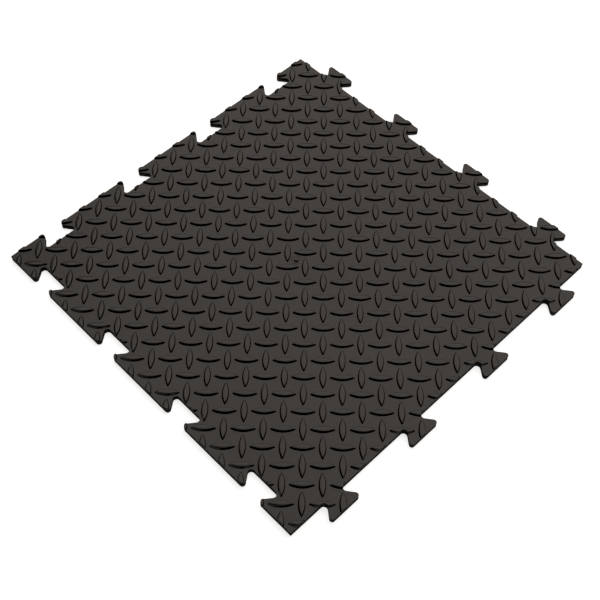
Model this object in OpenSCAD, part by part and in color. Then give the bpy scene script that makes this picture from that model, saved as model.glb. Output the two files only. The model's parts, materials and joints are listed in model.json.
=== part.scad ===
// Interlocking anti-fatigue floor tile with a chequered tread.
// Tiles lie side by side on a square module: the dovetail tabs of two edges drop into the
// sockets of the next tiles. Each tile is a laminate of three bonded layers.
// Frame: +Z up, origin on the floor under the middle of the square body.
// The tabs point along +X and +Y, and the sockets open towards -X and -Y.

/* [Tile] */
// Spacing at which laid tiles repeat
module_w = 500; // [400:50:600]
// Gap between the bodies of two laid tiles
joint_gap = 0.5; // [0.2:0.1:1]
// Dovetail tabs along one edge
tabs_per_edge = 4; // [2:1:5]

/* [Layers] */
// Thickness of the wear layer, without its bars
tread_t = 3; // [2:0.5:4]
// Thickness of the foam core
core_t = 3.5; // [3:0.5:8]
// Thickness of the grip backing
backing_t = 1; // [1:0.25:2]

/* [Dovetails] */
// Reach of a tab beyond the body's edge
tab_reach = 20.7; // [16:0.1:24]
// Width of a tab at the body's edge, where its flanks would meet the edge without a fillet
tab_root_w = 17.2; // [14:0.1:20]
// Width of a tab at its tip, where its flanks would meet the tip without a rounding
tab_tip_w = 49.2; // [44:0.1:54]
// How much wider than the tab a socket is, on each side
side_play = 0.9; // [0.7:0.1:1.5]
// How much deeper than the tab's reach a socket is
end_play = 0.3; // [0.2:0.1:1]
// Fillet in the corner between a tab and the body
root_r = 4.3; // [3.5:0.1:5]
// Rounding of a tab's two outer corners
tip_r = 3.4; // [2.5:0.1:4]
// Rounding of the two corners at a socket's mouth
mouth_r = 3.7; // [3.5:0.1:4.5]
// Rounding of the two corners at a socket's bottom
pocket_r = 4.1; // [3:0.1:4.2]
// Rounding of the body's four corners
corner_r = 0.8; // [0.4:0.1:2]

/* [Tread bars] */
// Bar rows per module, along X and along Y
bar_cells = 16; // [12:2:18]
// Length of a bar, tip to tip
bar_l = 28; // [24:0.5:30]
// Width of a bar at its middle
bar_w = 7.5; // [6:0.5:9]
// Height of a bar above the wear layer
bar_h = 2.5; // [1:0.25:3]

/* [Gate mark] */
// Diameter of the low disc around the moulding gate
gate_disc_d = 13; // [8:1:16]
// Height of the disc above the wear layer
gate_disc_h = 0.2; // [0.1:0.1:0.5]
// Diameter of the nib left where the moulding gate was broken off
gate_nib_d = 5; // [2:0.5:6]
// Height of the nib above the wear layer
gate_nib_h = 1.8; // [0.5:0.1:2]

/* [Grip grooves] */
// Width of the grooves that divide the underside into pads
groove_w = 2; // [1:0.5:3]
// Depth of the grooves
groove_depth = 0.5; // [0.25:0.05:0.75]

/* [Hidden] */
$fn = 48;
arc_steps = 6;
sink = 0.5;
core_z = backing_t;
tread_z = core_z + core_t;
top_z = tread_z + tread_t;
half_w = (module_w - joint_gap) / 2;
reach_w = half_w + tab_reach;
cell = module_w / bar_cells;
tab_pitch = module_w / tabs_per_edge;
tab_middles = [for (i = [0 : tabs_per_edge - 1]) (i - (tabs_per_edge - 1) / 2) * tab_pitch];
// A bar is the overlap of two circles of this radius, which cross at its tips
bar_arc_r = (bar_l * bar_l + bar_w * bar_w) / (4 * bar_w);
first_cell = -ceil(half_w / cell);
last_cell = ceil(reach_w / cell);

function unit(v) = v / norm(v);
function mirrored(points) = [for (i = [len(points) - 1 : -1 : 0]) [points[i].y, points[i].x, points[i].z]];

// A corner is [x, y, r]: a point of the outline and the radius that rounds it
function rounded_corner(before, corner, after) =
    let (
        p = [corner.x, corner.y],
        u = unit([before.x, before.y] - p),
        v = unit([after.x, after.y] - p),
        half_angle = acos(u * v) / 2,
        centre = p + unit(u + v) * corner.z / sin(half_angle),
        start = p + u * corner.z / tan(half_angle) - centre,
        side = sign(u.x * v.y - u.y * v.x),
        sweep = side * (180 - 2 * half_angle)
    )
    [for (k = [0 : arc_steps])
        let (turn = -sweep * k / arc_steps)
        centre + [
            start.x * cos(turn) - start.y * sin(turn),
            start.x * sin(turn) + start.y * cos(turn)
        ]
    ];

function rounded(corners) =
    let (n = len(corners))
    [for (i = [0 : n - 1])
        each rounded_corner(corners[(i + n - 1) % n], corners[i], corners[(i + 1) % n])
    ];

// The sockets of the -Y edge, from the -X end to the +X end
socket_corners = [
    for (x = tab_middles) each [
        [x - tab_root_w / 2 - side_play, -half_w, mouth_r],
        [x - tab_tip_w / 2 - side_play, -half_w + tab_reach + end_play, pocket_r],
        [x + tab_tip_w / 2 + side_play, -half_w + tab_reach + end_play, pocket_r],
        [x + tab_root_w / 2 + side_play, -half_w, mouth_r],
    ]
];

// The tabs of the +X edge, from the -Y end to the +Y end
tab_corners = [
    for (y = tab_middles) each [
        [half_w, y - tab_root_w / 2, root_r],
        [reach_w, y - tab_tip_w / 2, tip_r],
        [reach_w, y + tab_tip_w / 2, tip_r],
        [half_w, y + tab_root_w / 2, root_r],
    ]
];

module tile_outline() {
    polygon(rounded([
        [-half_w, -half_w, corner_r],
        each socket_corners,
        [half_w, -half_w, corner_r],
        each tab_corners,
        [half_w, half_w, corner_r],
        each mirrored(tab_corners),
        [-half_w, half_w, corner_r],
        each mirrored(socket_corners),
    ]));
}

module tile_slab(z, thickness) {
    translate([0, 0, z])
        linear_extrude(thickness) tile_outline();
}

// One lens-shaped bar, long along X
module bar_plan() {
    shift = bar_arc_r - bar_w / 2;
    intersection() {
        translate([0, -shift]) circle(bar_arc_r);
        translate([0, shift]) circle(bar_arc_r);
    }
}

// The bars point by turns along the two diagonals, each one towards the middle of its neighbour
module bar_pattern() {
    for (i = [first_cell : last_cell], j = [first_cell : last_cell]) {
        translate([i * cell, (j + 0.5) * cell]) rotate(45) bar_plan();
        translate([(i + 0.5) * cell, j * cell]) rotate(-45) bar_plan();
    }
}

// Tough wear layer. Its pattern runs on across the tabs and is cut off square at every edge.
module tread_layer() {
    color([0.15, 0.15, 0.145]) {
        tile_slab(tread_z, tread_t);
        translate([0, 0, top_z - sink])
            linear_extrude(bar_h + sink)
            intersection() {
                tile_outline();
                bar_pattern();
            }
        translate([0, 0, top_z - sink]) {
            cylinder(d = gate_disc_d, h = gate_disc_h + sink);
            cylinder(d = gate_nib_d, h = gate_nib_h + sink);
        }
    }
}

// Closed-cell foam that gives underfoot
module cushion_core() {
    color([0.11, 0.11, 0.11]) tile_slab(core_z, core_t);
}

// Thin rubber backing. Shallow grooves divide its underside into square pads.
module grip_backing() {
    groove_l = 2 * (reach_w + cell);
    color([0.08, 0.08, 0.08])
        difference() {
            tile_slab(0, backing_t);
            for (i = [first_cell : last_cell], turn = [0, 90])
                rotate(turn)
                    translate([(i + 0.5) * cell * (turn == 0 ? 1 : -1), 0, 0])
                    cube([groove_w, groove_l, 2 * groove_depth], center = true);
        }
}

tread_layer();
cushion_core();
grip_backing();
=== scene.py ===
"""Looks of the interlocking anti-fatigue floor tile: three bonded layers, a pale floor and studio light.

Lengths are in metres, in the CAD frame: +Z up, origin on the floor under the middle of the square body.
The tread is laid out on a square lattice turned by 45 degrees, whose axes are called u and v here.
"""
import json
import math

import bmesh
import bpy
from mathutils import Matrix, Vector


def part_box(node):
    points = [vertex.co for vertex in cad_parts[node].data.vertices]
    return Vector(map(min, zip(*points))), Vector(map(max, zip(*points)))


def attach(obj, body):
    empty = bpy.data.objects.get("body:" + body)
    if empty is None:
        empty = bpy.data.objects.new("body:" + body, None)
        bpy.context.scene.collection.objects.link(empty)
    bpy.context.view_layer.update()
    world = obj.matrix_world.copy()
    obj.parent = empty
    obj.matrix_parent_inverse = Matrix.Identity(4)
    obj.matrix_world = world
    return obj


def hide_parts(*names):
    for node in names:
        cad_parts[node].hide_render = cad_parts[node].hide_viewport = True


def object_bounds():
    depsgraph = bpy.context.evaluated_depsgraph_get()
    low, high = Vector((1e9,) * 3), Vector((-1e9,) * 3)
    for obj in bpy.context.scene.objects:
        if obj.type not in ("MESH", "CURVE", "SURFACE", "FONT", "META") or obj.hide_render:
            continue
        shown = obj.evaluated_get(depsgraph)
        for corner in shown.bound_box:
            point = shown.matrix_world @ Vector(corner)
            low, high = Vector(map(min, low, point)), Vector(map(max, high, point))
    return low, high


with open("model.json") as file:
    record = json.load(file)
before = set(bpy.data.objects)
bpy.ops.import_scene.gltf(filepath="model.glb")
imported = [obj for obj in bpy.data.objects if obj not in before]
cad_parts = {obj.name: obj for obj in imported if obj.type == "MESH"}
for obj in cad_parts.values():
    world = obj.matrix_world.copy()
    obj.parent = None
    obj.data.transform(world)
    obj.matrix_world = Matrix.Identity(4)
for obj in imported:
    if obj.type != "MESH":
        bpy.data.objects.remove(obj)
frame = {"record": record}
cad_low, cad_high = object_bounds()

MM = 0.001
BODY = "root"

# The outline, as in the CAD model
MODULE = 500 * MM
MOUNTS = {mount["name"]: mount for mount in frame["record"]["mounts"]}
HALF_BODY = MOUNTS["tabs_plus_x"]["pos_m"][0]
TAB_REACH = cad_high.x - HALF_BODY
TABS_PER_EDGE = 4
TAB_ROOT_W = 17.2 * MM
TAB_TIP_W = 49.2 * MM
SIDE_PLAY = 0.9 * MM
END_PLAY = 0.3 * MM
ROOT_R = 4.3 * MM
TIP_R = 3.4 * MM
MOUTH_R = 3.7 * MM
POCKET_R = 4.1 * MM
CORNER_R = 0.8 * MM
ARC_STEPS = 10

# The tread's lattice: a bar stands in the middle of every square of it, turned by turns along u and v
BAR_CELLS = 16
CELL = MODULE / BAR_CELLS
LATTICE = CELL / math.sqrt(2)
BAR_HEIGHT = 2.5 * MM
# Rings of a bar, from its foot to its crown:
# half length, half width, radius of the tips, height over the slab
BAR_RINGS = [
    (14.33 * MM, 4.22 * MM, 0.80 * MM, 0.00 * MM),
    (13.10 * MM, 3.42 * MM, 0.60 * MM, 1.90 * MM),
    (12.45 * MM, 3.16 * MM, 0.56 * MM, 2.17 * MM),
    (11.70 * MM, 2.72 * MM, 0.52 * MM, 2.30 * MM),
    (10.20 * MM, 2.05 * MM, 0.46 * MM, 2.40 * MM),
    (7.60 * MM, 1.25 * MM, 0.40 * MM, 2.46 * MM),
    (3.80 * MM, 0.50 * MM, 0.28 * MM, 2.49 * MM),
]
# Steps along a quarter of a ring: round its tip, and along its side
TIP_STEPS = 2
SIDE_STEPS = 4
QUARTER = TIP_STEPS + SIDE_STEPS

# The gate mark, a low dished disc with a nib, from the rim to the middle:
# radius, height over the slab
GATE_MARK = [
    (6.60 * MM, -0.60 * MM),
    (6.58 * MM, 0.04 * MM),
    (6.15 * MM, 0.28 * MM),
    (5.60 * MM, 0.34 * MM),
    (5.05 * MM, 0.26 * MM),
    (4.40 * MM, 0.06 * MM),
    (3.10 * MM, 0.05 * MM),
    (2.80 * MM, 0.22 * MM),
    (2.50 * MM, 1.35 * MM),
    (2.20 * MM, 1.64 * MM),
    (1.40 * MM, 1.77 * MM),
    (0.50 * MM, 1.80 * MM),
]
GATE_STEPS = 32

# Grooves of the underside: offset from the middle of a groove, and depth
GROOVE = [
    (-1.00 * MM, 0.00 * MM),
    (-0.85 * MM, 0.12 * MM),
    (-0.62 * MM, 0.50 * MM),
    (0.62 * MM, 0.50 * MM),
    (0.85 * MM, 0.12 * MM),
    (1.00 * MM, 0.00 * MM),
]

# Edges of the layers: the tread's shoulder, the foam's hollow side and the backing's foot
SHOULDER_R = 0.35 * MM
CORE_HOLLOW = 0.35 * MM
FOOT_CHAMFER = 0.25 * MM
# An inset corner point moves by no more than the inset divided by this
LEAST_MITRE = 0.5
# How far blocks and cutters reach past the faces that they make
OVERSHOOT = 2 * MM

# Edges that turn by more than this are sharp
SHARP_EDGE = math.radians(30)
# A face is level if its corners' heights differ by no more than this
LEVEL_WITHIN = 0.001 * MM

# Feet polish the bars: not below the first of these heights over the slab, and fully from the second.
# Polish takes up to the third value off the roughness.
POLISH_START = 2.0 * MM
POLISH_FULL = 2.4 * MM
POLISH = 0.03

# The tread is matt where the Z of its normal is below the first of these, and satin from the second
UPRIGHT = 0.1
SLOPING = 0.3
SATIN_SPECULAR = 0.5

# The camera looks down on the tile from beyond its +X -Y corner
CAMERA_PLACE = Vector((0.5454, -0.5250, 1.0525))
CAMERA_TARGET = Vector((0.0459, -0.0383, 0.0080))
CAMERA_ROLL = math.radians(0.15)
CAMERA_NEAR = 0.05
CAMERA_FAR = 20
LENS_MM = 62.69

# The softbox behind the tile, turned clockwise from the direction in which the camera looks
BOX_TURN = math.radians(30)
BOX_RISE = math.radians(59)
BOX_DISTANCE = 2.2
BOX_WIDTH = 3.6
BOX_DEPTH = 2.25
BOX_RADIANCE = 1.19
BOX_COLOUR = (1.0, 0.895, 0.82)

# The floor lies a hair below the tile, so that their faces don't coincide
FLOOR_HALF_WIDTH = 6.0
FLOOR_SQUARES = 8
FLOOR_DROP = 0.2 * MM
FLOOR_GLOW = 0.72
WORLD_STRENGTH = 0.10

# The display's black and white points
BLACK_POINT = 0.007
WHITE_POINT = 0.95


def arc_round(before, corner, after, radius):
    """The points of the arc that rounds a corner of the outline."""
    towards_before = (before - corner).normalized()
    towards_after = (after - corner).normalized()
    half_angle = towards_before.angle(towards_after) / 2
    centre = corner + (towards_before + towards_after).normalized() * radius / math.sin(half_angle)
    spoke = corner + towards_before * radius / math.tan(half_angle) - centre
    cross = towards_before.x * towards_after.y - towards_before.y * towards_after.x
    sweep = math.copysign(math.pi - 2 * half_angle, cross)
    return [centre + Matrix.Rotation(-sweep * k / ARC_STEPS, 2) @ spoke for k in range(ARC_STEPS + 1)]


def tile_outline():
    """The outline as the tile is seen from above, counter-clockwise from its -X -Y corner."""
    middles = [(i - (TABS_PER_EDGE - 1) / 2) * MODULE / TABS_PER_EDGE for i in range(TABS_PER_EDGE)]
    pocket = -HALF_BODY + TAB_REACH + END_PLAY
    tip = HALF_BODY + TAB_REACH
    sockets, tabs = [], []
    for m in middles:
        mouth_half, pocket_half = TAB_ROOT_W / 2 + SIDE_PLAY, TAB_TIP_W / 2 + SIDE_PLAY
        sockets += [
            (m - mouth_half, -HALF_BODY, MOUTH_R),
            (m - pocket_half, pocket, POCKET_R),
            (m + pocket_half, pocket, POCKET_R),
            (m + mouth_half, -HALF_BODY, MOUTH_R),
        ]
        tabs += [
            (HALF_BODY, m - TAB_ROOT_W / 2, ROOT_R),
            (tip, m - TAB_TIP_W / 2, TIP_R),
            (tip, m + TAB_TIP_W / 2, TIP_R),
            (HALF_BODY, m + TAB_ROOT_W / 2, ROOT_R),
        ]
    corners = [
        (-HALF_BODY, -HALF_BODY, CORNER_R),
        *sockets,
        (HALF_BODY, -HALF_BODY, CORNER_R),
        *tabs,
        (HALF_BODY, HALF_BODY, CORNER_R),
        *[(y, x, r) for x, y, r in reversed(tabs)],
        (-HALF_BODY, HALF_BODY, CORNER_R),
        *[(y, x, r) for x, y, r in reversed(sockets)],
    ]
    points = [Vector((x, y)) for x, y, _ in corners]
    outline = []
    for i, (_, _, radius) in enumerate(corners):
        outline += arc_round(points[i - 1], points[i], points[(i + 1) % len(points)], radius)
    return outline


def inset(outline, distance):
    """The outline moved inwards, point by point."""
    moved = []
    for i, p in enumerate(outline):
        before = (p - outline[i - 1]).normalized()
        after = (outline[(i + 1) % len(outline)] - p).normalized()
        inward = Vector((-before.y - after.y, before.x + after.x)).normalized()
        moved.append(p + inward * distance / max(LEAST_MITRE, inward.dot(Vector((-before.y, before.x)))))
    return moved


def new_object(name, bm):
    """A mesh object made from bm, which is freed."""
    bmesh.ops.recalc_face_normals(bm, faces=bm.faces)
    mesh = bpy.data.meshes.new(name)
    bm.to_mesh(mesh)
    bm.free()
    piece = bpy.data.objects.new(name, mesh)
    bpy.context.scene.collection.objects.link(piece)
    return piece


def bridge_rings(bm, rings):
    """Faces between each ring of vertices and the next one."""
    for low, high in zip(rings, rings[1:]):
        for i in range(len(low)):
            following = (i + 1) % len(low)
            bm.faces.new((low[i], low[following], high[following], high[i]))


def edge_profile_solid(name, profile):
    """A closed solid whose wall follows the tile's outline, with the given (height, inset) profile."""
    outline = tile_outline()
    bm = bmesh.new()
    rings = [[bm.verts.new((p.x, p.y, z)) for p in inset(outline, d)] for z, d in profile]
    bridge_rings(bm, rings)
    bm.faces.new(reversed(rings[0]))
    bm.faces.new(rings[-1])
    return new_object(name, bm)


def lens_quarter(half_l, half_w, tip_r):
    """A lens from its tip on +u to the middle of its side on +v: a tip arc, then a side arc."""
    core_l, core_w = half_l - tip_r, half_w - tip_r
    core_r = (core_l ** 2 + core_w ** 2) / (2 * core_w)
    side_r = core_r + tip_r
    half_angle = math.asin(core_l / core_r)
    points = []
    for k in range(TIP_STEPS):
        turn = (math.pi / 2 - half_angle) * k / TIP_STEPS
        points.append((core_l + tip_r * math.cos(turn), tip_r * math.sin(turn)))
    for k in range(SIDE_STEPS + 1):
        turn = half_angle * (1 - k / SIDE_STEPS)
        points.append((side_r * math.sin(turn), side_r * math.cos(turn) - core_r + core_w))
    return points


def lens_ring(half_l, half_w, tip_r, along_u):
    """All points of a lens, counter-clockwise from +u. Every QUARTER-th one lies on an axis."""
    first = lens_quarter(half_l, half_w, tip_r)
    if not along_u:
        first = [(v, u) for u, v in reversed(first)]
    second = [(-u, v) for u, v in reversed(first)]
    upper = first[:-1] + second[:-1]
    return upper + [(-u, -v) for u, v in upper]


def lattice_point(u, v, z):
    """A point of the turned lattice in the CAD frame."""
    return ((u - v) / math.sqrt(2), (u + v) / math.sqrt(2), z)


def close_block(bm, z):
    """Closes the open surface in bm to a block, with walls from its rim to a flat face at height z."""
    rim = [edge for edge in bm.edges if edge.is_boundary]
    walls = bmesh.ops.extrude_edge_only(bm, edges=rim)["geom"]
    for vert in [part for part in walls if isinstance(part, bmesh.types.BMVert)]:
        vert.co.z = z
    rim = [edge for edge in bm.edges if edge.is_boundary]
    bmesh.ops.holes_fill(bm, edges=rim, sides=0)


def tread_block(slab_z, bottom_z):
    """A block with the bars on top. It reaches past the tile, so that the outline can cut it."""
    bm = bmesh.new()
    margin = 2 * LATTICE
    span = math.ceil(2 * (HALF_BODY + TAB_REACH) / LATTICE)
    corners = []
    for m in range(-span, span):
        for n in range(-span, span):
            x, y, _ = lattice_point(m * LATTICE, n * LATTICE, 0)
            if min(x, y) > cad_low.x - margin and max(x, y) < cad_high.x + margin:
                corners.append((m, n))
    squares = sorted({(m - i, n - j) for m, n in corners for i in (0, 1) for j in (0, 1)})
    feet = {}
    for m, n in squares:
        along_u = (m + n) % 2 == 0
        centre_u, centre_v = (m + 0.5) * LATTICE, (n + 0.5) * LATTICE
        rings = []
        for half_l, half_w, tip_r, height in BAR_RINGS:
            ring = lens_ring(half_l, half_w, tip_r, along_u)
            rings.append([
                bm.verts.new(lattice_point(centre_u + u, centre_v + v, slab_z + height)) for u, v in ring
            ])
        bridge_rings(bm, rings)
        bm.faces.new(rings[-1])
        feet[m, n] = rings[0]

    def foot_arc(square, start):
        """A quarter of a bar's foot, clockwise from its point on axis number start."""
        foot = feet[square]
        return [foot[(start * QUARTER - k) % len(foot)] for k in range(QUARTER + 1)]

    for m, n in corners:
        ground = foot_arc((m, n - 1), 2) + foot_arc((m, n), 3)
        ground += foot_arc((m - 1, n), 4) + foot_arc((m - 1, n - 1), 1)
        bm.faces.new(ground)
    close_block(bm, bottom_z)
    return new_object("tread_block", bm)


def gate_mark(slab_z):
    """The disc and nib where the mould was filled, in the middle of the tile."""
    bm = bmesh.new()
    turns = [2 * math.pi * k / GATE_STEPS for k in range(GATE_STEPS)]
    rings = []
    for radius, height in GATE_MARK:
        z = slab_z + height
        rings.append([bm.verts.new((radius * math.cos(t), radius * math.sin(t), z)) for t in turns])
    bridge_rings(bm, rings)
    bm.faces.new(rings[-1])
    bm.faces.new(reversed(rings[0]))
    return new_object("gate_mark", bm)


def backing_block(top_z):
    """A block with square pads below, between grooves along X and Y. It reaches past the tile."""
    count = math.ceil((HALF_BODY + TAB_REACH) / CELL)
    middles = [(i + 0.5) * CELL for i in range(-count - 1, count + 1)]
    line = [(middle + offset, depth) for middle in middles for offset, depth in GROOVE]
    bm = bmesh.new()
    grid = [[bm.verts.new((x, y, max(depth_x, depth_y))) for x, depth_x in line] for y, depth_y in line]
    for j in range(len(line) - 1):
        for i in range(len(line) - 1):
            bm.faces.new((grid[j][i], grid[j + 1][i], grid[j + 1][i + 1], grid[j][i + 1]))
    close_block(bm, top_z)
    return new_object("backing_block", bm)


def combine(piece, other, operation):
    """Replaces piece's mesh by its boolean with other, which is removed."""
    modifier = piece.modifiers.new("combine", "BOOLEAN")
    modifier.operation = operation
    modifier.solver = "MANIFOLD"
    modifier.object = other
    graph = bpy.context.evaluated_depsgraph_get()
    mesh = bpy.data.meshes.new_from_object(piece.evaluated_get(graph))
    old = piece.data
    piece.modifiers.clear()
    piece.data = mesh
    mesh.name = old.name
    bpy.data.meshes.remove(old)
    bpy.data.objects.remove(other)
    return piece


def dress(piece, material):
    """Gives all of piece one material."""
    piece.data.materials.clear()
    piece.data.materials.append(material)
    piece.data.polygons.foreach_set("material_index", [0] * len(piece.data.polygons))


def finish_mesh(piece, name):
    """Names piece, keeps its sharp edges, and shades its level faces flat and the others smooth."""
    # The sharp edges come first, because setting them clears the shading of the faces
    piece.name = piece.data.name = name
    verts, faces = piece.data.vertices, piece.data.polygons
    heights = [[verts[i].co.z for i in face.vertices] for face in faces]
    piece.data.set_sharp_from_angle(angle=SHARP_EDGE)
    faces.foreach_set("use_smooth", [max(z) - min(z) > LEVEL_WITHIN for z in heights])


def add_node(material, kind, settings, inputs):
    """Makes a node and gives its first output. An input takes a number, a colour or an output."""
    tree = material.node_tree
    node = tree.nodes.new(kind)
    for name, value in settings.items():
        setattr(node, name, value)
    for name, value in inputs.items():
        if isinstance(value, bpy.types.NodeSocket):
            tree.links.new(value, node.inputs[name])
        else:
            node.inputs[name].default_value = value
    return node.outputs[0]


def noise(material, place, size, detail=2.0, roughness=0.5):
    """Noise from 0 to 1 whose features are about size across."""
    inputs = {"Vector": place, "Scale": 1 / size, "Detail": detail, "Roughness": roughness}
    return add_node(material, "ShaderNodeTexNoise", {}, inputs)


def cells(material, place, size):
    """The distance from the middle of the nearest of many cells, each about size across."""
    inputs = {"Vector": place, "Scale": 1 / size, "Randomness": 0.9}
    return add_node(material, "ShaderNodeTexVoronoi", {"feature": "F1"}, inputs)


def blend_colours(material, factor, low_at, low_colour, high_at, high_colour):
    """A colour that goes from low_colour to high_colour as factor goes from low_at to high_at."""
    colour = add_node(material, "ShaderNodeValToRGB", {}, {"Fac": factor})
    first, last = colour.node.color_ramp.elements
    first.position, first.color = low_at, (*low_colour, 1)
    last.position, last.color = high_at, (*high_colour, 1)
    return colour


def remap(material, value, from_min, from_max, to_min, to_max):
    """Goes from to_min to to_max as value goes from from_min to from_max, and stays within them."""
    limits = {"From Min": from_min, "From Max": from_max, "To Min": to_min, "To Max": to_max}
    return add_node(material, "ShaderNodeMapRange", {}, {"Value": value, **limits})


def add(material, first, second):
    """The sum of two outputs."""
    return add_node(material, "ShaderNodeMath", {"operation": "ADD"}, {0: first, 1: second})


def height_of(material, vector):
    """The Z of a vector."""
    return add_node(material, "ShaderNodeSeparateXYZ", {}, {"Vector": vector}).node.outputs["Z"]


def bump(material, height, distance, normal=None):
    """A normal bumped by up to distance, on top of another one if it is given."""
    inputs = {"Height": height, "Distance": distance, "Strength": 1.0}
    if normal is not None:
        inputs["Normal"] = normal
    return add_node(material, "ShaderNodeBump", {}, inputs)


def start_material(name):
    """A material, its shader, and the place on the object in metres, for its textures."""
    material = bpy.data.materials.new(name)
    material.use_nodes = True
    shader = material.node_tree.nodes["Principled BSDF"]
    place = add_node(material, "ShaderNodeTexCoord", {}, {}).node.outputs["Object"]
    return material, shader, place


def connect(material, shader, outputs):
    """Links outputs to the shader's sockets of the given names."""
    for socket, output in outputs.items():
        material.node_tree.links.new(output, shader.inputs[socket])


def tread_material(slab_z):
    """Black vinyl: satin, with a fine moulded grain and polished crowns, but matt on upright cut faces."""
    material, shader, place = start_material("tread_pvc")
    tone = noise(material, place, 110 * MM, detail=4)
    colour = blend_colours(material, tone, 0.3, (0.017, 0.016, 0.015), 0.7, (0.023, 0.022, 0.021))
    smudges = noise(material, place, 9 * MM, detail=5, roughness=0.6)
    satin = remap(material, smudges, 0.3, 0.7, 0.22, 0.28)
    height = height_of(material, place)
    polish = remap(material, height, slab_z + POLISH_START, slab_z + POLISH_FULL, 0.0, -POLISH)
    waves = bump(material, noise(material, place, 24 * MM), 0.12 * MM)
    grain = bump(material, noise(material, place, 0.7 * MM, detail=3), 0.03 * MM, normal=waves)
    surface = add_node(material, "ShaderNodeNewGeometry", {}, {}).node.outputs["True Normal"]
    specular = remap(material, height_of(material, surface), UPRIGHT, SLOPING, 0.0, SATIN_SPECULAR)
    connect(material, shader, {
        "Base Color": colour,
        "Roughness": add(material, satin, polish),
        "Normal": grain,
        "Specular IOR Level": specular,
    })
    return material


def foam_material():
    """Closed-cell foam, seen where it was cut: tiny open cells, and matt."""
    material, shader, place = start_material("core_foam")
    cell = cells(material, place, 0.6 * MM)
    colour = blend_colours(material, cell, 0.1, (0.015, 0.015, 0.015), 0.6, (0.045, 0.044, 0.042))
    rough = remap(material, noise(material, place, 5 * MM), 0.3, 0.7, 0.7, 0.9)
    pits = bump(material, cell, 0.12 * MM)
    connect(material, shader, {"Base Color": colour, "Roughness": rough, "Normal": pits})
    shader.inputs["Specular IOR Level"].default_value = 0.0
    return material


def backing_material():
    """Matt rubber with a fine pebbled skin and a trace of floor dust on it."""
    material, shader, place = start_material("backing_rubber")
    dust = noise(material, place, 28 * MM, detail=6, roughness=0.65)
    colour = blend_colours(material, dust, 0.35, (0.018, 0.018, 0.018), 0.75, (0.048, 0.046, 0.043))
    rough = remap(material, dust, 0.3, 0.8, 0.5, 0.75)
    pebbles = bump(material, cells(material, place, 1.1 * MM), 0.10 * MM)
    grain = bump(material, noise(material, place, 0.35 * MM), 0.02 * MM, normal=pebbles)
    connect(material, shader, {"Base Color": colour, "Roughness": rough, "Normal": grain})
    shader.inputs["Specular IOR Level"].default_value = 0.1
    return material


def floor_material():
    """Pale, even studio paper with a trace of mottling. It glows a little, so that it stays white."""
    material, shader, place = start_material("floor_pale")
    mottle = noise(material, place, 60 * MM, detail=3)
    colour = blend_colours(material, mottle, 0.3, (0.90, 0.90, 0.90), 0.7, (0.92, 0.92, 0.92))
    connect(material, shader, {"Base Color": colour})
    shader.inputs["Roughness"].default_value = 0.9
    shader.inputs["Emission Color"].default_value = (1, 1, 1, 1)
    shader.inputs["Emission Strength"].default_value = FLOOR_GLOW
    return material


def add_camera():
    """The camera, aimed at its target and rolled a little."""
    data = bpy.data.cameras.new("camera")
    data.lens = LENS_MM
    data.clip_start, data.clip_end = CAMERA_NEAR, CAMERA_FAR
    camera = bpy.data.objects.new("camera", data)
    bpy.context.scene.collection.objects.link(camera)
    aim = (CAMERA_TARGET - CAMERA_PLACE).to_track_quat("-Z", "Y").to_matrix().to_4x4()
    camera.matrix_world = Matrix.Translation(CAMERA_PLACE) @ aim @ Matrix.Rotation(CAMERA_ROLL, 4, "Z")
    bpy.context.scene.camera = camera


def add_softbox():
    """A large area light behind and above the tile, aimed at its middle. The tread mirrors it."""
    view = CAMERA_TARGET - CAMERA_PLACE
    azimuth = math.atan2(view.y, view.x) - BOX_TURN
    level = BOX_DISTANCE * math.cos(BOX_RISE)
    height = BOX_DISTANCE * math.sin(BOX_RISE)
    place = Vector((level * math.cos(azimuth), level * math.sin(azimuth), height))
    data = bpy.data.lights.new("key", "AREA")
    data.shape = "RECTANGLE"
    data.size, data.size_y = BOX_WIDTH, BOX_DEPTH
    data.energy = BOX_RADIANCE * math.pi * data.size * data.size_y
    data.color = BOX_COLOUR
    light = bpy.data.objects.new("key", data)
    aim = (-place).to_track_quat("-Z", "Y").to_matrix().to_4x4()
    light.matrix_world = Matrix.Translation(place) @ aim
    bpy.context.scene.collection.objects.link(light)


def add_studio():
    """A dim, even world, the display's black and white points, and the softbox."""
    world = bpy.data.worlds.new("studio")
    world.use_nodes = True
    background = world.node_tree.nodes["Background"]
    background.inputs["Color"].default_value = (1, 1, 1, 1)
    background.inputs["Strength"].default_value = WORLD_STRENGTH
    bpy.context.scene.world = world
    view = bpy.context.scene.view_settings
    view.view_transform = "Standard"
    view.use_curve_mapping = True
    view.curve_mapping.black_level = (BLACK_POINT,) * 3
    view.curve_mapping.white_level = (WHITE_POINT,) * 3
    view.curve_mapping.update()
    add_softbox()


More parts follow.
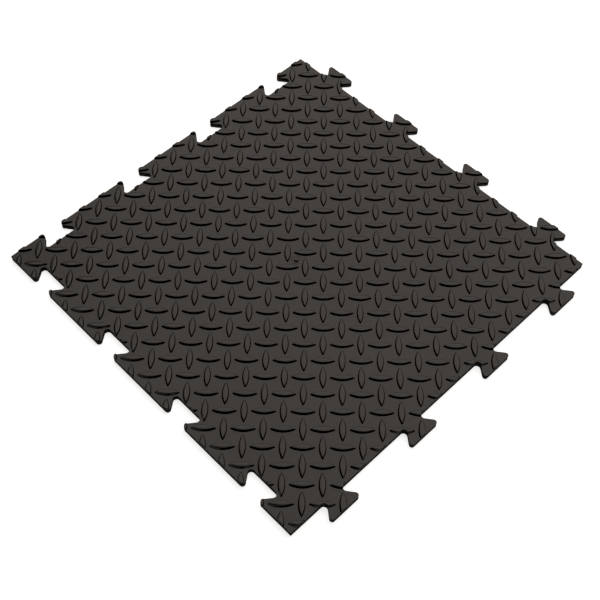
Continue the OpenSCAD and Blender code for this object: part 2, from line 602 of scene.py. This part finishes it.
def add_floor():
    """The plain floor that the tile lies on."""
    bm = bmesh.new()
    bmesh.ops.create_grid(bm, x_segments=FLOOR_SQUARES, y_segments=FLOOR_SQUARES, size=FLOOR_HALF_WIDTH)
    floor = new_object("floor", bm)
    floor.location.z = -FLOOR_DROP
    dress(floor, floor_material())


def layer_span(node):
    """The heights of the bottom and top of a layer."""
    low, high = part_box(node)
    return low.z, high.z


def declare(piece, node):
    """Says which body piece rides on, which CAD node it replaces."""
    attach(piece, BODY)
    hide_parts(node)


def build_tread():
    """The wear layer: bars and gate mark on a slab, cut by the outline, with a rounded shoulder."""
    low, high = layer_span("tread_layer")
    slab_z = high - BAR_HEIGHT
    piece = combine(tread_block(slab_z, low - OVERSHOOT), gate_mark(slab_z), "UNION")
    cutter = edge_profile_solid("cutter", [
        (low, 0),
        (slab_z - SHOULDER_R, 0),
        (slab_z - SHOULDER_R * 0.3, SHOULDER_R * 0.25),
        (slab_z, SHOULDER_R),
        (high + OVERSHOOT, SHOULDER_R),
    ])
    combine(piece, cutter, "INTERSECT")
    finish_mesh(piece, "tread_skin")
    dress(piece, tread_material(slab_z))
    declare(piece, "tread_layer")


def build_core():
    """The foam layer, whose cut side is slightly hollow."""
    low, high = layer_span("cushion_core")
    piece = edge_profile_solid("foam_core", [
        (low, CORE_HOLLOW / 2),
        ((low * 3 + high) / 4, CORE_HOLLOW),
        ((low + high * 3) / 4, CORE_HOLLOW),
        (high, CORE_HOLLOW / 2),
    ])
    finish_mesh(piece, "foam_core")
    dress(piece, foam_material())
    declare(piece, "cushion_core")


def build_backing():
    """The rubber layer: grooved below, cut by the outline, with a chamfered foot."""
    low, high = layer_span("grip_backing")
    cutter = edge_profile_solid("cutter", [
        (low - OVERSHOOT, FOOT_CHAMFER),
        (low, FOOT_CHAMFER),
        (low + FOOT_CHAMFER, 0),
        (high, 0),
    ])
    piece = combine(backing_block(high + OVERSHOOT), cutter, "INTERSECT")
    finish_mesh(piece, "grip_sole")
    dress(piece, backing_material())
    declare(piece, "grip_backing")


add_camera()
add_floor()
add_studio()
build_tread()
build_core()
build_backing()
